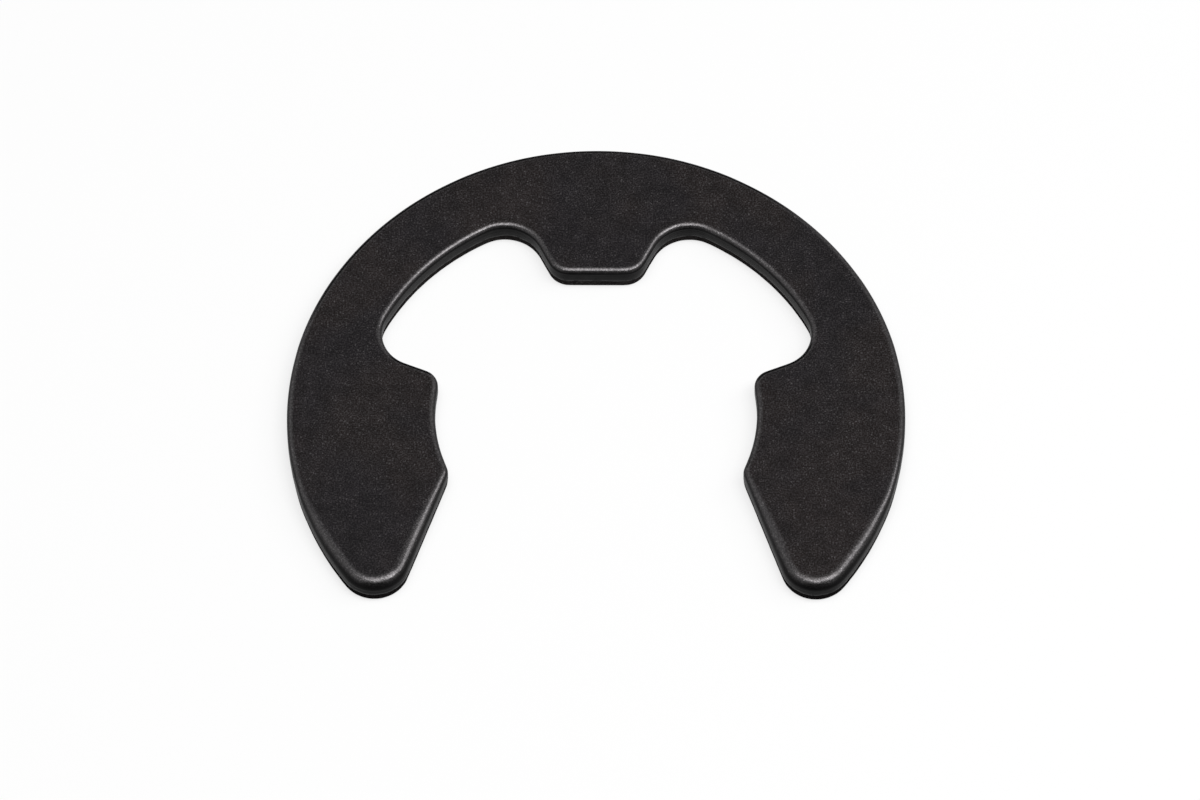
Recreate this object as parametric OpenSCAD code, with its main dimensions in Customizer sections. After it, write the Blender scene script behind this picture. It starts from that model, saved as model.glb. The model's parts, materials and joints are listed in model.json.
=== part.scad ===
// Retaining ring whose three inward prongs grip the bottom of a shaft groove of about 24 mm.
// Blanked from spring strip: the shaft axis is Z, the mouth faces -Y, and the ring lies on Z = 0.

/* [Grip on the shaft] */
// Diameter of the circle that the three prongs touch
grip_d = 22.9; // [19:0.1:28]
// How much narrower the mouth is than that circle on each side, which the ring springs over
snap = 1.05; // [0.6:0.05:1.5]
// Angle of each slanted mouth edge from the way the shaft enters
mouth_flare = 19.7; // [10:0.1:30]
// Angle of each lug's upper corner above the shaft's centre line
lug_top_angle = 15.6; // [10:0.1:20]
// Slope of each lug's upper edge, rising outwards
lug_rise = 21.4; // [20:0.2:30]

/* [Band] */
// Thickness of the spring strip
strip_t = 2; // [1.2:0.1:3]
// Depth of the two relief pockets, from the circle of the grip outwards
pocket_depth = 5.45; // [4.5:0.05:6.5]
// Width of the band behind the pockets
band_w = 5.1; // [4:0.1:6.5]
// How far the centre of the outer circle lies from the shaft axis, towards the mouth
ring_drop = 0.2; // [0:0.1:1]

/* [Middle prong] */
// Width of the middle prong at its flat end, before its corners are rounded
prong_w = 6; // [4:0.1:8]
// Angle of each flank of the middle prong from its centre line
prong_flank = 26.3; // [18:0.1:35]

/* [Rounds] */
// Radius of the middle prong's corners
prong_corner_r = 1.65; // [0.6:0.05:2]
// Radius where the middle prong's flanks run into the pockets
prong_root_r = 2.8; // [1:0.1:3.5]
// Radius where the pockets run into the lugs
lug_root_r = 2.65; // [1:0.05:3.5]
// Radius of the lugs' upper corners
lug_corner_r = 1.35; // [0.6:0.05:2]
// Radius of the lugs' lower corners, beside the mouth
mouth_corner_r = 0.9; // [0.6:0.1:2]
// Radius of the two tips
tip_r = 2.55; // [1:0.05:3.5]

/* [Blanked edge] */
// Radius that blanking rolls over along the upper edge
roll_r = 0.45; // [0.1:0.05:0.6]
// Radius of the same roll round the tips, where the strip gives way most
tip_roll_r = 0.85; // [0.2:0.05:0.95]
// How far from the centre of a tip's round its deeper roll fades out
tip_roll_reach = 6; // [3:0.5:10]
// Height of the rough broken band at the foot of the wall
break_h = 0.8; // [0.3:0.1:1]
// How far the broken band draws in at its foot
break_draw = 0.05; // [0.01:0.01:0.15]
// Radius that tumbling leaves along the lower edge
foot_r = 0.15; // [0.05:0.05:0.25]

/* [Smoothness] */
// Largest distance between a curve and the flats that stand for it
flat_error = 0.01; // [0.005:0.005:0.05]
// Flats round the rolled upper edge
roll_steps = 4; // [2:1:8]

/* [Hidden] */

grip_r = grip_d / 2;
pocket_r = grip_r + pocket_depth;
ring_r = pocket_r + band_w;
mouth_r = grip_r - snap;
axis = [0, 0];
ring_centre = [0, -ring_drop];
// Which side of a round the metal is on
INSIDE = 1;
OUTSIDE = -1;

function unit(v) = v / norm(v);
function left_of(d) = [-d[1], d[0]];
function polar(r, a) = [r * cos(a), r * sin(a)];
function heading(v) = atan2(v[1], v[0]);
function reversed(list) = [for (i = [len(list) - 1:-1:0]) list[i]];
// Where the line through p along d leaves the circle of radius r about c
function line_out(p, d, c, r) = let (m = p - c, b = m * d) p + (sqrt(b * b - m * m + r * r) - b) * d;
// Centre of a round that lies r to the left (1) or right (-1) of a line, and reach from c
function round_centre(p, d, side, r, c, reach) = line_out(p + side * r * left_of(d), d, c, reach);
// Points where a round about c touches a line on its left (1) or right (-1), and a circle about o
function touch_line(c, d, side, r) = c - side * r * left_of(d);
function touch_circle(c, o, r) = o + r * unit(c - o);

// Centre of a round of radius r in the corner p, whose edges leave it along d and e
function corner_centre(p, d, e, r) = p + r / sin(acos(d * e) / 2) * unit(d + e);

// The right half of the inner outline runs from the middle prong to the tip, with the metal on its left.
// The middle prong's flat end touches the circle of the grip, and the other straight edges start on it
prong_middle = [0, grip_r];
prong_edge = [prong_w / 2, grip_r];
flank = polar(1, 90 - prong_flank);
lug_edge = polar(grip_r, lug_top_angle);
lug_top = polar(1, lug_rise);
mouth_edge = [mouth_r, -sqrt(grip_r * grip_r - mouth_r * mouth_r)];
mouth_side = polar(1, mouth_flare - 90);

// Centres of the rounds that join them
prong_corner = corner_centre(prong_edge, flank, [-1, 0], prong_corner_r);
prong_root = round_centre(prong_edge, flank, -1, prong_root_r, axis, pocket_r - prong_root_r);
lug_root = round_centre(lug_edge, lug_top, 1, lug_root_r, axis, pocket_r - lug_root_r);
lug_corner = round_centre(lug_edge, lug_top, -1, lug_corner_r, axis, grip_r + lug_corner_r);
mouth_corner = round_centre(mouth_edge, mouth_side, 1, mouth_corner_r, axis, grip_r + mouth_corner_r);
tip = round_centre(mouth_edge, mouth_side, 1, tip_r, ring_centre, ring_r - tip_r);

// Points where one curve of the outline runs into the next
prong_end = [prong_corner[0], grip_r];
flank_start = touch_line(prong_corner, flank, 1, prong_corner_r);
flank_end = touch_line(prong_root, flank, -1, prong_root_r);
pocket_start = touch_circle(prong_root, axis, pocket_r);
pocket_end = touch_circle(lug_root, axis, pocket_r);
lug_top_start = touch_line(lug_root, lug_top, 1, lug_root_r);
lug_top_end = touch_line(lug_corner, lug_top, -1, lug_corner_r);
grip_start = touch_circle(lug_corner, axis, grip_r);
grip_end = touch_circle(mouth_corner, axis, grip_r);
mouth_start = touch_line(mouth_corner, mouth_side, 1, mouth_corner_r);
mouth_end = touch_line(tip, mouth_side, 1, tip_r);
tip_end = touch_circle(tip, ring_centre, ring_r);

// A station of the outline is a point on it and the direction from there into the metal
function steps_for(r, angle) = max(1, ceil(angle / (2 * acos(1 - flat_error / r))));
function on_arc(c, r, side, a) = [c + polar(r, a), side * polar(-1, a)];
// Stations of an arc after p, up to q, which turns to the left round metal and to the right round a gap
function arc_stations(c, p, q, side) =
    let (r = norm(p - c), a = heading(p - c))
    let (swept = (side * (heading(q - c) - a) + 720) % 360, n = steps_for(r, swept))
    [for (i = [1:n]) on_arc(c, r, side, a + side * swept * i / n)];
// Stations of a straight edge after p, up to q: as many as the outer edge needs behind them
function line_stations(p, q) =
    let (n = steps_for(ring_r, abs(heading(p) - heading(q))))
    [for (i = [1:n]) [p + (q - p) * i / n, left_of(unit(q - p))]];

inner_right = concat(
    [[prong_middle, [0, 1]]],
    line_stations(prong_middle, prong_end),
    arc_stations(prong_corner, prong_end, flank_start, INSIDE),
    line_stations(flank_start, flank_end),
    arc_stations(prong_root, flank_end, pocket_start, OUTSIDE),
    arc_stations(axis, pocket_start, pocket_end, OUTSIDE),
    arc_stations(lug_root, pocket_end, lug_top_start, OUTSIDE),
    line_stations(lug_top_start, lug_top_end),
    arc_stations(lug_corner, lug_top_end, grip_start, INSIDE),
    arc_stations(axis, grip_start, grip_end, OUTSIDE),
    arc_stations(mouth_corner, grip_end, mouth_start, INSIDE),
    line_stations(mouth_start, mouth_end)
);

// Each inner station has an outer one behind it, so that the band has a section at each pair
behind = (90 - heading(tip_end - ring_centre)) / (90 - heading(mouth_end));
function outer_station(s) = on_arc(ring_centre, ring_r, INSIDE, 90 - behind * (90 - heading(s[0])));
tip_start_heading = heading(mouth_end - tip);
tip_swept = (heading(tip_end - tip) - tip_start_heading + 720) % 360;
tip_half_steps = steps_for(tip_r, tip_swept / 2);
function tip_station(k) =
    on_arc(tip, tip_r, INSIDE, tip_start_heading + tip_swept * k / (2 * tip_half_steps));

function mirrored(stations) = [for (s = stations) [[-s[0][0], s[0][1]], [-s[1][0], s[1][1]]]];
inner_half = concat(inner_right, [for (k = [1:tip_half_steps - 1]) tip_station(k)]);
outer_half = concat(
    [for (s = inner_right) outer_station(s)],
    [for (k = [1:tip_half_steps - 1]) tip_station(2 * tip_half_steps - k)]
);
apex = [tip_station(tip_half_steps)];
function without_first(list) = [for (i = [1:len(list) - 1]) list[i]];
inner_edge = concat(reversed(mirrored(without_first(inner_half))), inner_half);
outer_edge = concat(reversed(outer_half), mirrored(without_first(outer_half)));
// The whole outline, anticlockwise from the left tip: inner edge, right tip, outer edge
outline = concat(mirrored(apex), inner_edge, apex, outer_edge);

// Heights of the foot and of the broken band, limited by the strip
foot_h = min(foot_r, strip_t / 8);
band_h = min(break_h, strip_t / 2);
foot_steps = 2;
// The roll leaves some smooth wall above the band, and stays smaller than the rounds it follows
wall_limit = strip_t - band_h - foot_h;
edge_roll = min(roll_r, wall_limit, 0.9 * min(prong_corner_r, lug_corner_r, mouth_corner_r));
tip_roll = min(tip_roll_r, wall_limit, 0.9 * tip_r);
// Share of the tips' deeper roll at a point: 1 along the tip's round, and 0 past its reach
function tip_gap(p) = max(0, norm([abs(p[0]), p[1]] - tip) - tip_r);
function tip_share(p) = let (u = max(0, 1 - tip_gap(p) / tip_roll_reach)) u * u * (3 - 2 * u);
function roll_at(p) = edge_roll + (tip_roll - edge_roll) * tip_share(p);

// Levels of the surface at a point of the outline, from the lower face to the upper.
// Each is a shift into the metal and a height
function foot_level(a) = [break_draw + foot_h * (1 - sin(a)), foot_h * (1 - cos(a))];
function roll_level(a, r) = [r * (1 - cos(a)), strip_t - r * (1 - sin(a))];
function levels(p) = concat(
    [for (k = [0:foot_steps]) foot_level(90 * k / foot_steps)],
    [[0, band_h]],
    [for (k = [0:roll_steps]) roll_level(90 * k / roll_steps, roll_at(p))]
);
function shifted(station, level) = concat(station[0] + level[0] * station[1], level[1]);
upper = len(levels(prong_middle)) - 1;
surface_points = [for (k = [0:upper]) for (s = outline) shifted(s, levels(s[0])[k])];

// The wall runs round the outline. The two faces are strips across the band, with a triangle at each tip
count = len(outline);
function at(k, i) = k * count + i % count;
function wall(k, i) = [
    [at(k, i), at(k + 1, i + 1), at(k, i + 1)],
    [at(k, i), at(k + 1, i), at(k + 1, i + 1)]
];
function strip(i) =
    i == 0 ? [0, 1, count - 1] :
    i == count / 2 - 1 ? [i, i + 1, i + 2] :
    [i, i + 1, count - i - 1, count - i];
strips = [for (i = [0:count / 2 - 1]) strip(i)];
wall_faces = [for (k = [0:upper - 1]) for (i = [0:count - 1]) each wall(k, i)];
lower_face = [for (s = strips) [for (i = s) at(0, i)]];
upper_face = [for (s = strips) [for (i = reversed(s)) at(upper, i)]];

module retaining_ring() {
    color("#2b282a") polyhedron(surface_points, concat(wall_faces, lower_face, upper_face));
}

retaining_ring();
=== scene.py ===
import json
import math

import bmesh
import bpy
from mathutils import Matrix, Vector

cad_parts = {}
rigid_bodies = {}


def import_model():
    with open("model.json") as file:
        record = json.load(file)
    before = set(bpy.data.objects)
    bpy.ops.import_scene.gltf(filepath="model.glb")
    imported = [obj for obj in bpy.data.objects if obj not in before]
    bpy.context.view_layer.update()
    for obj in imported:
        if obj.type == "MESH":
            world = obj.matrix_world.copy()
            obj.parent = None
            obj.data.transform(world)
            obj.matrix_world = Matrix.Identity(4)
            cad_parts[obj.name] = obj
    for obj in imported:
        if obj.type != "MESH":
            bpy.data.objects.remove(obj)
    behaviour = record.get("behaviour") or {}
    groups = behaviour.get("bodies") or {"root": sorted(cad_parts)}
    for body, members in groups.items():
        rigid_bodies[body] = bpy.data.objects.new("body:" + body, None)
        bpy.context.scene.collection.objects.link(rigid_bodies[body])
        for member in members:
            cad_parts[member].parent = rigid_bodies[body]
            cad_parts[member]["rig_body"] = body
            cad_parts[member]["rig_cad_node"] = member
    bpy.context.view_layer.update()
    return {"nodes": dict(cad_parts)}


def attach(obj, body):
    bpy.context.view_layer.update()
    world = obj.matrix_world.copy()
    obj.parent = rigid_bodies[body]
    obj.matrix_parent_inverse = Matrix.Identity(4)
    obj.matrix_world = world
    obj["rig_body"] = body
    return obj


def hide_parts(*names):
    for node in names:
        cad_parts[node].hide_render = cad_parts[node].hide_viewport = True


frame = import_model()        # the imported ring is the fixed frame, in metres
mm = 0.001

print("1. camera")

# The photograph looks down on the ring from in front of its mouth, through a long lens
viewpoint = {
    "target": (0.26 * mm, 2.08 * mm, 0),
    "distance": 1068.6 * mm,
    "azimuth": 0.89,      # degrees round the shaft axis
    "elevation": 59.83,   # degrees above the floor
    "tilt": -0.68,        # degrees that the camera leans sideways
    "lens": 450,
    "sensor": 36,         # width in millimetres, as the lens
    "clip": (0.05, 20),
}


# Direction from the ring to a place in the studio: azimuth 0 is in front, 90 on the right
def towards(azimuth, elevation):
    a, e = math.radians(azimuth), math.radians(elevation)
    return Vector((math.sin(a) * math.cos(e), -math.cos(a) * math.cos(e), math.sin(e)))


# Turns an object that looks along its -Z so that it looks back along the direction given
def facing(back, tilt=0):
    right = Vector((0, 0, 1)).cross(back).normalized()
    up = back.cross(right)
    turn = Matrix((right, up, back)).transposed()
    return turn @ Matrix.Rotation(math.radians(tilt), 3, "Z")


def placeCamera(view):
    back = towards(view["azimuth"], view["elevation"])
    bpy.ops.object.camera_add(location=Vector(view["target"]) + view["distance"] * back)
    camera = bpy.context.object
    camera.name = "photoCamera"
    camera.rotation_euler = facing(back, view["tilt"]).to_euler()
    camera.data.lens = view["lens"]
    camera.data.sensor_width = view["sensor"]
    camera.data.clip_start, camera.data.clip_end = view["clip"]
    bpy.context.scene.camera = camera


placeCamera(viewpoint)

print("2. blank, cut along the packed ring's outline")

blank = {
    "cutHeight": 1.0 * mm,        # a level at which the ring's wall stands upright
    "thickness": 2.0 * mm,
    "smoothing": 2,               # subdivisions along the outline
    "landFoot": 0.8 * mm,         # above it the punch left a smooth land, below it the steel broke
    "burnish": 0.08 * mm,         # height of the shiny line along the foot of the land
    "lineWander": 0.2 * mm,       # the edge of the smooth land wanders up and down
    "wanderSize": 1.1 * mm,
    "ledge": 0.05 * mm,           # height of the small step between the land and the broken band
    "ledgeDepth": 0.012 * mm,
    "draw": 0.05 * mm,            # how far the broken band draws in at its foot
    "bandFoot": 0.19 * mm,        # lowest row of the broken band, above the round of the foot
    "bandRows": 5,
    "breakDepth": 0.04 * mm,      # coarse relief of the broken band
    "breakSize": 0.6 * mm,
    "footRound": 0.15 * mm,
    "edgeRoll": 0.41 * mm,        # die roll along the upper edge
    "tipRoll": 0.8 * mm,          # the same round the tips
    "tipCentre": Vector((15.62 * mm, -11.79 * mm)),
    "tipRadius": 2.55 * mm,
    "tipReach": 6.0 * mm,         # distance over which the deeper roll fades out
    "rollSpread": 0.32,           # how much wider the roll is than deep
    "rollSteps": 10,
    "faceBorder": 0.05 * mm,      # loop that keeps the flat faces flat up to the roll
    "uprightLean": 0.5,           # the wall's faces have normals that lean up or down less than this
    "landLean": 0.1,              # and those of the land less than this
}
tiny = 0.001 * mm


def copyOfNode(name, pieceName):
    node = frame["nodes"][name]
    bpy.ops.object.select_all(action="DESELECT")
    node.select_set(True)
    bpy.context.view_layer.objects.active = node
    bpy.ops.object.duplicate()
    piece = bpy.context.object
    piece.name = piece.data.name = pieceName
    piece.parent = None
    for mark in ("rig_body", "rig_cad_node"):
        del piece[mark]
    return piece


def applyModifier(piece, kind, **settings):
    bpy.context.view_layer.objects.active = piece
    modifier = piece.modifiers.new(kind.lower(), kind)
    for name, value in settings.items():
        setattr(modifier, name, value)
    bpy.ops.object.modifier_apply(modifier=modifier.name)


# Selects, in edit mode, what the rule says of each vertex, edge or face
def pick(piece, kind, rule):
    bpy.ops.mesh.select_mode(type={"verts": "VERT", "edges": "EDGE", "faces": "FACE"}[kind])
    bpy.ops.mesh.select_all(action="DESELECT")
    mesh = bmesh.from_edit_mesh(piece.data)
    for element in getattr(mesh, kind):
        if rule(element):
            element.select_set(True)
    mesh.select_flush_mode()
    bmesh.update_edit_mesh(piece.data)


def atHeight(vert, height):
    return abs(vert.co.z - height) < tiny


def loopAt(height):
    return lambda edge: all(atHeight(vert, height) for vert in edge.verts)


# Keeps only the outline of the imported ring's upright wall, and draws it up again into an open band
def cutOutline(piece):
    bpy.ops.object.mode_set(mode="EDIT")
    bpy.ops.mesh.select_all(action="SELECT")
    bpy.ops.mesh.remove_doubles(threshold=tiny)
    bpy.ops.mesh.tris_convert_to_quads(face_threshold=math.pi, shape_threshold=math.pi)
    bpy.ops.mesh.select_all(action="SELECT")
    level = {"plane_co": (0, 0, blank["cutHeight"]), "plane_no": (0, 0, 1)}
    bpy.ops.mesh.bisect(**level, clear_inner=True, clear_outer=True)
    bpy.ops.mesh.select_all(action="SELECT")
    bpy.ops.transform.translate(value=(0, 0, -blank["cutHeight"]))
    bpy.ops.mesh.extrude_region_move(TRANSFORM_OT_translate={"value": (0, 0, blank["thickness"])})
    bpy.ops.mesh.select_all(action="SELECT")
    bpy.ops.mesh.normals_make_consistent(inside=False)
    bpy.ops.object.mode_set(mode="OBJECT")
    rightmost = max(piece.data.polygons, key=lambda face: face.center.x)
    if rightmost.normal.x < 0:
        piece.data.flip_normals()
    smooth = blank["smoothing"]
    applyModifier(piece, "SUBSURF", levels=smooth, render_levels=smooth)
    bpy.ops.object.mode_set(mode="EDIT")
    bands = 2 ** smooth
    for k in range(1, bands):    # the rows that smoothing left between the two edges
        pick(piece, "edges", loopAt(k / bands * blank["thickness"]))
        bpy.ops.mesh.dissolve_edges(use_verts=True)
    bpy.ops.object.mode_set(mode="OBJECT")


# The punch shears the upper part of the wall smooth, and the rest breaks off and draws in
def shearWall(piece):
    bpy.ops.object.mode_set(mode="EDIT")
    land, low = blank["landFoot"], blank["bandFoot"]
    slope = blank["draw"] / (land - blank["footRound"])
    high, steps = land - blank["ledge"], blank["bandRows"]
    rows = [low + (high - low) * k / steps for k in range(steps + 1)]
    for height in rows + [land, land + blank["burnish"]]:
        bpy.ops.mesh.select_all(action="SELECT")
        bpy.ops.mesh.bisect(plane_co=(0, 0, height), plane_no=(0, 0, 1))
    for height in [0] + rows:
        pick(piece, "verts", lambda vert: atHeight(vert, height))
        bpy.ops.transform.shrink_fatten(value=-(slope * (land - height) + blank["ledgeDepth"]))
    bpy.ops.object.mode_set(mode="OBJECT")
    shine = piece.data.attributes.new("burnish", "FLOAT", "POINT").data
    for vert in piece.data.vertices:
        shine[vert.index].value = 1 if atHeight(vert, land) else 0
    broken = groupBetween(piece, "brokenBand", 0, land, blank["ledge"])
    landLine = groupBetween(piece, "landLine", low, 2 * land - low, land - low)
    applyModifier(piece, "DISPLACE", direction="Z", vertex_group=landLine, mid_level=0.5,
                  strength=blank["lineWander"], texture=noiseTexture("lineWander", blank["wanderSize"]))
    applyModifier(piece, "DISPLACE", direction="NORMAL", vertex_group=broken, mid_level=0.5,
                  strength=blank["breakDepth"], texture=noiseTexture("breakGrain", blank["breakSize"]))


# A vertex group of the points between two heights, faded over a margin at each end
def groupBetween(piece, name, low, high, margin):
    group = piece.vertex_groups.new(name=name)
    for vert in piece.data.vertices:
        share = min(vert.co.z - low, high - vert.co.z) / margin
        if share > 0:
            group.add([vert.index], min(share, 1), "REPLACE")
    return group.name


def noiseTexture(name, size):
    texture = bpy.data.textures.new(name, "CLOUDS")
    texture.noise_scale = size
    return texture


def closeFaces(piece):
    bpy.ops.object.mode_set(mode="EDIT")
    for height in (0, blank["thickness"]):
        pick(piece, "edges", loopAt(height))
        bpy.ops.mesh.edge_face_add()
    bpy.ops.mesh.select_all(action="SELECT")
    bpy.ops.mesh.normals_make_consistent(inside=False)
    bpy.ops.object.mode_set(mode="OBJECT")


# Depth of the roll at a place on the edge, which grows smoothly towards the tips
def rollAt(place):
    gap = (Vector((abs(place.x), place.y)) - blank["tipCentre"]).length - blank["tipRadius"]
    near = max(0, 1 - max(0, gap) / blank["tipReach"])
    share = near * near * (3 - 2 * near)
    return blank["edgeRoll"] + (blank["tipRoll"] - blank["edgeRoll"]) * share


# Lets the roll set in gently: its points move inwards, and more the further they lie from the wall
def spreadRoll(piece):
    top = blank["thickness"]
    verts = piece.data.vertices
    outward = {vert.index: vert.normal.copy() for vert in verts}
    for edge in piece.data.edges:
        low, high = sorted(edge.vertices, key=lambda index: verts[index].co.z)
        if atHeight(verts[high], top) and not atHeight(verts[low], top):
            outward[high] = verts[low].co - verts[high].co
    moves = {}
    for vert in verts:
        roll = rollAt(vert.co)
        rise = 1 - (top - vert.co.z) / roll
        if rise > 0:
            fromWall = roll * (1 - math.sqrt(max(0, 1 - rise * rise)))
            outward[vert.index].z = 0
            moves[vert.index] = outward[vert.index].normalized() * blank["rollSpread"] * fromWall
    for index, move in moves.items():
        verts[index].co -= move


# Rolls the upper edge over, deeper round the tips, and rounds the foot
def rollEdges(piece):
    weights = piece.data.attributes.new("bevel_weight_edge", "FLOAT", "EDGE").data
    verts = piece.data.vertices
    for edge in piece.data.edges:
        ends = [verts[i] for i in edge.vertices]
        if all(atHeight(vert, 0) for vert in ends):
            weights[edge.index].value = blank["footRound"] / blank["tipRoll"]
        elif all(atHeight(vert, blank["thickness"]) for vert in ends):
            middle = (ends[0].co + ends[1].co) / 2
            weights[edge.index].value = rollAt(middle) / blank["tipRoll"]
    applyModifier(piece, "BEVEL", limit_method="WEIGHT", width=blank["tipRoll"],
                  segments=blank["rollSteps"], use_clamp_overlap=False)
    spreadRoll(piece)
    bpy.ops.object.mode_set(mode="EDIT")
    pick(piece, "faces", lambda face: len(face.verts) > 4)    # only the two flat faces
    bpy.ops.mesh.inset(thickness=blank["faceBorder"], use_even_offset=True)
    bpy.ops.object.mode_set(mode="OBJECT")


coatZone, brokenZone, landZone = range(3)    # order of the materials on the ring


# Notes how steep each point lies, for the finish, and gives each zone its material
def markZones(piece):
    steepness = piece.data.attributes.new("steepness", "FLOAT", "POINT").data
    for vert in piece.data.vertices:
        lean = math.acos(min(1, abs(vert.normal.z))) / (math.pi / 2)
        steepness[vert.index].value = 1 if tiny < vert.co.z < blank["landFoot"] else lean
    bandTop = blank["landFoot"] - blank["ledge"]
    for face in piece.data.polygons:
        tilt = abs(face.normal.z)
        if tilt < blank["uprightLean"] and face.center.z < bandTop:
            face.material_index = brokenZone
        elif tilt < blank["landLean"]:
            face.material_index = landZone
        else:
            face.material_index = coatZone


print("3. finish")


# A node with its settings and the values of its unlinked inputs
def addNode(tree, kind, values=None, **settings):
    node = tree.nodes.new(kind)
    for name, value in settings.items():
        setattr(node, name, value)
    for name, value in (values or {}).items():
        node.inputs[name].default_value = value
    return node


def startMaterial(name, kind):
    material = bpy.data.materials.new(name)
    material.use_nodes = True
    tree = material.node_tree
    tree.nodes.clear()
    shader = addNode(tree, kind)
    output = addNode(tree, "ShaderNodeOutputMaterial")
    tree.links.new(shader.outputs[0], output.inputs["Surface"])
    return material, tree, shader


def setInput(tree, socket, value):
    if isinstance(value, bpy.types.NodeSocket):
        tree.links.new(value, socket)
    elif isinstance(value, tuple):
        socket.default_value = (*value, 1)
    else:
        socket.default_value = value


def mixColours(tree, share, first, second):
    mixer = addNode(tree, "ShaderNodeMix", data_type="RGBA")
    colours = [socket for socket in mixer.inputs if socket.type == "RGBA"]
    for socket, value in ((mixer.inputs["Factor"], share), (colours[0], first), (colours[1], second)):
        setInput(tree, socket, value)
    return next(socket for socket in mixer.outputs if socket.type == "RGBA")


def rangeOf(tree, value, fromLow, fromHigh, low=0, high=1, kind="LINEAR"):
    limits = {"From Min": fromLow, "From Max": fromHigh, "To Min": low, "To Max": high}
    mapped = addNode(tree, "ShaderNodeMapRange", limits, interpolation_type=kind)
    tree.links.new(value, mapped.inputs["Value"])
    return mapped.outputs["Result"]


def scaleColour(tree, colour, share):
    scaled = addNode(tree, "ShaderNodeVectorMath", operation="SCALE")
    tree.links.new(colour, scaled.inputs[0])
    tree.links.new(share, scaled.inputs["Scale"])
    return scaled.outputs[0]


def calculate(tree, operation, *values):
    node = addNode(tree, "ShaderNodeMath", operation=operation)
    for socket, value in zip(node.inputs, values):
        setInput(tree, socket, value)
    return node.outputs[0]


def addBump(tree, shader, height, depth):
    bump = addNode(tree, "ShaderNodeBump", {"Distance": depth})
    tree.links.new(height, bump.inputs["Height"])
    tree.links.new(bump.outputs["Normal"], shader.inputs["Normal"])


# Each noise has a scale, per millimetre, a detail and a roughness
grainAndShadeLook = {
    "crystals": (9, 3, 0.65),
    "clusters": (0.9, 3, 0.7),
    "patches": (0.16, 2, 0.5),
    "streaks": (1, 3, 0.6),
    "streakStretch": (0.35, 0.35, 6),    # drawing lines run along the wall and are thin in height
    "clusterRelief": 0.3,                # height of the clusters beside the crystals
    "glint": (0.45, 0.8),                # noise at which the crystals' painted glint starts and is full
    "specks": 4.6,                       # scale of the single specks of painted glint
    "speckRim": (0.3, 0.12),             # distance from its middle at which a speck starts and is full
    "speckPick": (0.45, 1),              # random value above which a place holds a speck
    "speckGlint": 1.2,
    "tipShadeZone": (-10, -13),               # millimetres along Y over which painted shade darkens the walls of the tips
}


def addNoise(tree, place, look):
    values = dict(zip(("Scale", "Detail", "Roughness"), look))
    noise = addNode(tree, "ShaderNodeTexNoise", values)
    tree.links.new(place, noise.inputs["Vector"])
    return noise.outputs["Fac"]


# Grain that all materials of the ring share: crystals of the coat with their painted glints, their
# clusters, broad patches, and the zone of the tips whose walls get painted shade
def makeGrainAndShadeGroup(look):
    group = bpy.data.node_groups.new("steelGrainAndTipShade", "ShaderNodeTree")
    sockets = group.interface
    sockets.new_socket("Place", in_out="INPUT", socket_type="NodeSocketVector")
    sockets.new_socket("Crystal Size", in_out="INPUT", socket_type="NodeSocketFloat").default_value = 1
    for name in ("Height", "Speckle", "Cluster", "Patch", "Streak", "TipShadeZone"):
        sockets.new_socket(name, in_out="OUTPUT", socket_type="NodeSocketFloat")
    start = addNode(group, "NodeGroupInput")
    end = addNode(group, "NodeGroupOutput")
    place = start.outputs["Place"]
    fine = scaleColour(group, place, calculate(group, "DIVIDE", 1.0, start.outputs["Crystal Size"]))
    crystals = addNoise(group, fine, look["crystals"])
    clusters = addNoise(group, fine, look["clusters"])
    stretch = addNode(group, "ShaderNodeMapping", {"Scale": look["streakStretch"]})
    group.links.new(place, stretch.inputs["Vector"])
    specks = addNode(group, "ShaderNodeTexVoronoi", {"Scale": look["specks"]})
    group.links.new(fine, specks.inputs["Vector"])
    chosen = addNode(group, "ShaderNodeSeparateColor")
    group.links.new(specks.outputs["Color"], chosen.inputs[0])
    dot = rangeOf(group, specks.outputs["Distance"], *look["speckRim"])
    bright = rangeOf(group, chosen.outputs[0], *look["speckPick"], 0, look["speckGlint"])
    glint = rangeOf(group, crystals, *look["glint"])
    spot = addNode(group, "ShaderNodeSeparateXYZ")
    group.links.new(place, spot.inputs[0])
    results = {
        "Height": calculate(group, "MULTIPLY_ADD", clusters, look["clusterRelief"], crystals),
        # specks and crystals: lighter grain with painted glints
        "Speckle": calculate(group, "MULTIPLY_ADD", dot, bright, glint),
        "Cluster": clusters,
        "Patch": addNoise(group, place, look["patches"]),
        "Streak": addNoise(group, stretch.outputs["Vector"], look["streaks"]),
        # zone of the tips, whose walls get painted shade
        "TipShadeZone": rangeOf(group, spot.outputs["Y"], *look["tipShadeZone"]),
    }
    for name, result in results.items():
        group.links.new(result, end.inputs[name])


# The grain and the tips' painted shade, placed by the ring's own coordinates in millimetres
def addGrainAndShade(tree, crystalSize):
    spot = addNode(tree, "ShaderNodeTexCoord")
    scaled = addNode(tree, "ShaderNodeMapping", {"Scale": (1 / mm, 1 / mm, 1 / mm)})
    grain = addNode(tree, "ShaderNodeGroup", node_tree=bpy.data.node_groups["steelGrainAndTipShade"])
    grain.inputs["Crystal Size"].default_value = crystalSize
    tree.links.new(spot.outputs["Object"], scaled.inputs["Vector"])
    tree.links.new(scaled.outputs["Vector"], grain.inputs["Place"])
    return grain


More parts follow.
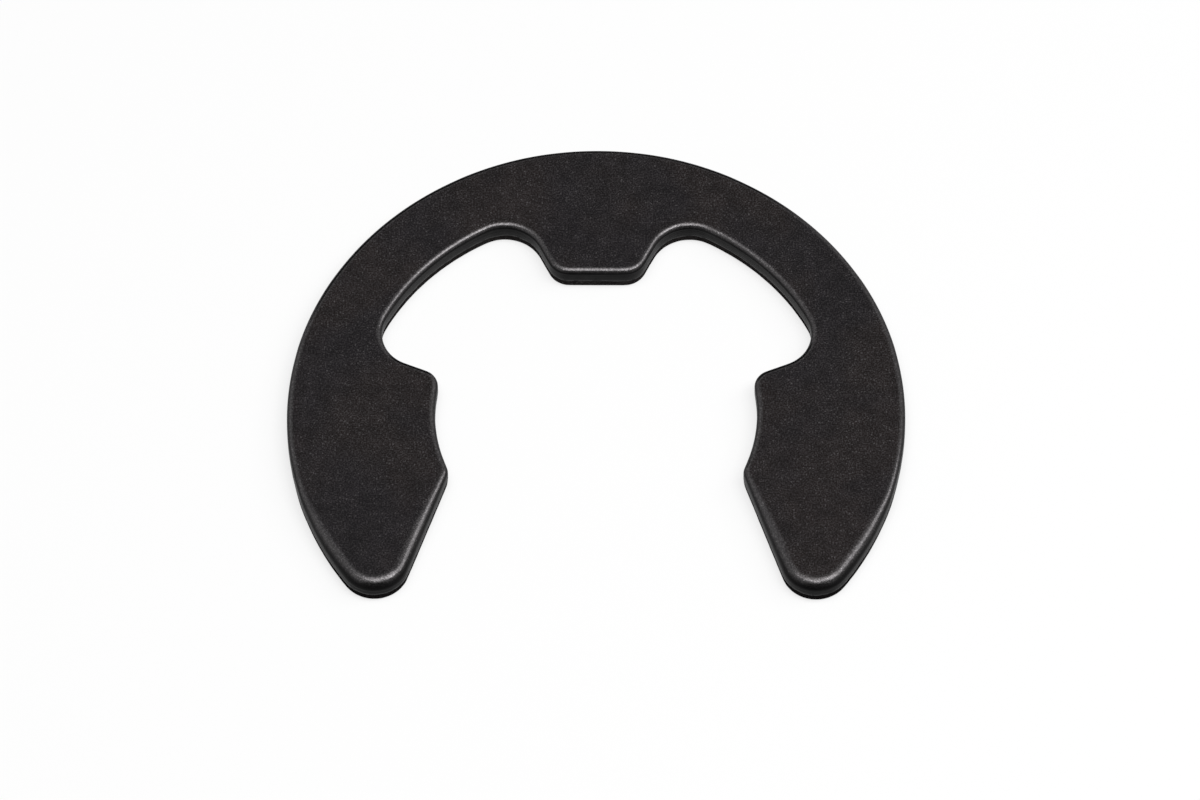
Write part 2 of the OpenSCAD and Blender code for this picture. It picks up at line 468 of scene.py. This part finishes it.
blackCoat = {
    "cool": (0.0072, 0.0061, 0.0071),
    "warm": (0.0076, 0.0055, 0.0052),
    "warmFrom": (0.42, 0.6),             # noise at which a patch starts to be warm and is so fully
    # colour of the crystals' lighter grain and painted glints
    "speckle": (0.062, 0.058, 0.060),
    "noiseSpan": (0.35, 0.65),           # the noise lies mostly between these
    "clusters": (0.75, 1.25),            # brightness of the darkest and the lightest clusters, beside 1
    "broad": (0.88, 1.12),               # the same over patches several millimetres wide
    "wall": ((0.0016, 0.0015, 0.0016), (0.0085, 0.0078, 0.0082)),
    "rubbed": (0.045, 0.043, 0.044),     # where tumbling wore the rolled edge
    "polished": (0.125, 0.120, 0.122),
    "rubbedFrom": (0.03, 0.31),          # steepness, 1 is upright, at which the wear sets in
    "rubbedTo": (0.28, 0.70),            # and fades out
    "wallFrom": (0.3, 0.5),              # steepness over which the coat turns into that of the wall
    "streakFrom": (0.4, 0.65),
    "roughness": (0.40, 0.15),           # of the flat face and of the worn edge
    "specular": 0.15,
    "grazing": (0.3, 0.3, 0.3),          # the worn edge shines less at a glancing angle than clean steel
    "paintedTipShade": 0.4,                     # brightness of the painted shade on the walls at the tips, beside 1
    "crystalSize": 1.0,
    "burnish": 0.6,                      # strength of the shiny line along the foot of the land
    "burnishFrom": (0.4, 0.6),
    "grainDepth": 0.005 * mm,
    "grooveShare": 3.0,                  # drawing lines on the land beside the grain
}


def makeBlackCoat(name, finish):
    material, tree, shader = startMaterial(name, "ShaderNodeBsdfPrincipled")
    shader.inputs["Specular IOR Level"].default_value = finish["specular"]
    shader.inputs["Specular Tint"].default_value = (*finish["grazing"], 1)
    grain = addGrainAndShade(tree, finish["crystalSize"])
    steepness = addNode(tree, "ShaderNodeAttribute", attribute_name="steepness").outputs["Fac"]
    patches = rangeOf(tree, grain.outputs["Patch"], *finish["warmFrom"])
    coat = mixColours(tree, patches, finish["cool"], finish["warm"])
    # lighter crystal grain and painted glints mixed into the colour
    coat = mixColours(tree, grain.outputs["Speckle"], coat, finish["speckle"])
    level = rangeOf(tree, grain.outputs["Cluster"], *finish["noiseSpan"], *finish["clusters"])
    broad = rangeOf(tree, grain.outputs["Patch"], *finish["noiseSpan"], *finish["broad"])
    coat = scaleColour(tree, coat, calculate(tree, "MULTIPLY", level, broad))
    onWall = rangeOf(tree, steepness, *finish["wallFrom"])
    streak = rangeOf(tree, grain.outputs["Streak"], *finish["streakFrom"])
    coat = mixColours(tree, onWall, coat, mixColours(tree, streak, *finish["wall"]))
    wearStarts = rangeOf(tree, steepness, *finish["rubbedFrom"], kind="SMOOTHSTEP")
    wearEnds = rangeOf(tree, steepness, *finish["rubbedTo"], 1, 0, "SMOOTHSTEP")
    worn = calculate(tree, "MULTIPLY", wearStarts, wearEnds)
    shine = addNode(tree, "ShaderNodeAttribute", attribute_name="burnish").outputs["Fac"]
    # the shiny line is left out where the walls of the tips get painted shade
    shine = calculate(tree, "MULTIPLY", shine, calculate(tree, "SUBTRACT", 1.0, grain.outputs["TipShadeZone"]))
    strength = rangeOf(tree, grain.outputs["Streak"], *finish["burnishFrom"], 0, finish["burnish"])
    line = calculate(tree, "MULTIPLY", shine, strength)
    rubbed = calculate(tree, "MAXIMUM", worn, line)
    steel = mixColours(tree, grain.outputs["Speckle"], finish["rubbed"], finish["polished"])
    # painted shade: the colour of the walls at the tips is darkened
    tipWallShadeZone = calculate(tree, "MULTIPLY", onWall, grain.outputs["TipShadeZone"])
    shade = rangeOf(tree, tipWallShadeZone, 0, 1, 1, finish["paintedTipShade"])
    colour = scaleColour(tree, mixColours(tree, rubbed, coat, steel), shade)
    setInput(tree, shader.inputs["Base Color"], colour)
    setInput(tree, shader.inputs["Metallic"], rubbed)
    setInput(tree, shader.inputs["Roughness"], rangeOf(tree, rubbed, 0, 1, *finish["roughness"]))
    grooves = calculate(tree, "MULTIPLY", onWall, grain.outputs["Streak"])
    relief = calculate(tree, "MULTIPLY_ADD", grooves, finish["grooveShare"], grain.outputs["Height"])
    addBump(tree, shader, relief, finish["grainDepth"])
    return material


# The land, smeared by the die, shines less than the coat on the face
smearedCoat = dict(blackCoat, specular=0.05)

brokenSteel = {
    "dark": (0.0140, 0.0124, 0.0124),
    "light": (0.046, 0.041, 0.041),
    "roughness": (0.5, 0.68),
    "roughFrom": (0.4, 0.6),             # cluster noise over which it rises from one to the other
    "specular": 0.0,
    # brightness of the painted shade on the broken band at the tips, beside 1
    "paintedTipShade": 0.45,
    "crystalSize": 1.6,
    "grainDepth": 0.02 * mm,
}


def makeBrokenSteel(finish):
    material, tree, shader = startMaterial("brokenSteel", "ShaderNodeBsdfPrincipled")
    shader.inputs["Specular IOR Level"].default_value = finish["specular"]
    grain = addGrainAndShade(tree, finish["crystalSize"])
    colour = mixColours(tree, grain.outputs["Speckle"], finish["dark"], finish["light"])
    # painted shade: the colour of the broken band at the tips is darkened
    shade = rangeOf(tree, grain.outputs["TipShadeZone"], 0, 1, 1, finish["paintedTipShade"])
    setInput(tree, shader.inputs["Base Color"], scaleColour(tree, colour, shade))
    rough = rangeOf(tree, grain.outputs["Cluster"], *finish["roughFrom"], *finish["roughness"])
    setInput(tree, shader.inputs["Roughness"], rough)
    addBump(tree, shader, grain.outputs["Height"], finish["grainDepth"])
    return material


ring = copyOfNode("retaining_ring", "spring_ring")
cutOutline(ring)
shearWall(ring)
closeFaces(ring)
rollEdges(ring)
ring.vertex_groups.clear()
makeGrainAndShadeGroup(grainAndShadeLook)
ring.data.materials.clear()
ring.data.materials.append(makeBlackCoat("blackenedSteel", blackCoat))
ring.data.materials.append(makeBrokenSteel(brokenSteel))
ring.data.materials.append(makeBlackCoat("smearedSteel", smearedCoat))
markZones(ring)
bpy.ops.object.select_all(action="DESELECT")
ring.select_set(True)
bpy.context.view_layer.objects.active = ring
bpy.ops.object.shade_smooth()
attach(ring, "root")
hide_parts("retaining_ring")

print("4. studio")

studio = {
    "floorSize": 6,
    "floorGap": 0.01 * mm,   # keeps the floor out of the plane of the ring's lower face
    "floorColour": (0.94, 0.94, 0.94),
    "whiteShare": 0.7,       # share of plain white in the floor that the eye and reflections see
    "ambient": 0.06,
    "lampDistance": 0.7,
    "velvet": (0.01, 0.01, 0.01),
}
# Lamps are strips between two directions, (azimuth, elevation), with a width and a radiance
strips = {
    "frontStrip": ((-85, 76), (50, 73), 0.38, 6.6),
    "sideStrip": ((50, 73), (88, 57), 0.24, 7.0),
    "farStrip": ((88, 57), (109, 30), 0.2, 3.2),
    "leftFill": ((-104, 62), (-85, 76), 0.34, 1.8),
}
# Black cards stand in front and behind, out of sight, and keep reflections off parts of the roll
blackCards = {
    "frontCard": {"azimuth": 2, "distance": 0.42, "width": 0.6, "height": 0.62},
    "backCard": {"azimuth": 190, "distance": 0.5, "width": 0.6, "height": 0.26},
}


def seenByEye(tree):
    path = addNode(tree, "ShaderNodeLightPath")
    total = path.outputs["Is Camera Ray"]
    for name in ("Is Glossy Ray", "Is Transmission Ray"):
        either = addNode(tree, "ShaderNodeMath", operation="MAXIMUM")
        tree.links.new(total, either.inputs[0])
        tree.links.new(path.outputs[name], either.inputs[1])
        total = either.outputs[0]
    return total


def makeFloor():
    bpy.ops.mesh.primitive_plane_add(size=studio["floorSize"], location=(0, 0, -studio["floorGap"]))
    floor = bpy.context.object
    floor.name = "studioFloor"
    material, tree, mixed = startMaterial("paleFloor", "ShaderNodeMixShader")
    matt = addNode(tree, "ShaderNodeBsdfDiffuse", {"Color": (*studio["floorColour"], 1)})
    white = addNode(tree, "ShaderNodeEmission")
    share = addNode(tree, "ShaderNodeMath", {1: studio["whiteShare"]}, operation="MULTIPLY")
    tree.links.new(seenByEye(tree), share.inputs[0])
    tree.links.new(share.outputs[0], mixed.inputs["Fac"])
    tree.links.new(matt.outputs[0], mixed.inputs[1])
    tree.links.new(white.outputs[0], mixed.inputs[2])
    floor.data.materials.append(material)


def makeWorld():
    world = bpy.data.worlds.new("studioWorld")
    bpy.context.scene.world = world
    world.use_nodes = True
    tree = world.node_tree
    tree.nodes.clear()
    plainWhite = {"Color": (1, 1, 1, 1)}
    around = addNode(tree, "ShaderNodeBackground", dict(plainWhite, Strength=studio["ambient"]))
    white = addNode(tree, "ShaderNodeBackground", plainWhite)
    mixed = addNode(tree, "ShaderNodeMixShader")
    output = addNode(tree, "ShaderNodeOutputWorld")
    tree.links.new(seenByEye(tree), mixed.inputs["Fac"])
    tree.links.new(around.outputs[0], mixed.inputs[1])
    tree.links.new(white.outputs[0], mixed.inputs[2])
    tree.links.new(mixed.outputs[0], output.inputs["Surface"])


def addStrip(name, start, end, width, radiance):
    first, last = (studio["lampDistance"] * towards(*place) for place in (start, end))
    middle = (first + last) / 2
    along = (last - first).normalized()
    back = middle.normalized()
    bpy.ops.object.light_add(type="AREA", location=middle)
    lamp = bpy.context.object
    lamp.name = name
    lamp.rotation_euler = Matrix((along, back.cross(along), back)).transposed().to_euler()
    lamp.data.shape = "RECTANGLE"
    lamp.data.size = (last - first).length
    lamp.data.size_y = width
    lamp.data.energy = radiance * math.pi * lamp.data.size * width
    lamp.visible_camera = False


def makeBlackCard(name, place):
    out = towards(place["azimuth"], 0)
    middle = place["distance"] * out + Vector((0, 0, place["height"] / 2))
    bpy.ops.mesh.primitive_plane_add(size=1, location=middle, rotation=facing(out).to_euler())
    card = bpy.context.object
    card.name = name
    card.scale = (place["width"], place["height"], 1)
    material, tree, shader = startMaterial("blackVelvet", "ShaderNodeBsdfDiffuse")
    shader.inputs["Color"].default_value = (*studio["velvet"], 1)
    card.data.materials.append(material)
    card.visible_camera = False
    card.visible_diffuse = False
    card.visible_shadow = False


makeFloor()
makeWorld()
for name, strip in strips.items():
    addStrip(name, *strip)
for name, place in blackCards.items():
    makeBlackCard(name, place)
bpy.context.scene.view_settings.view_transform = "Standard"
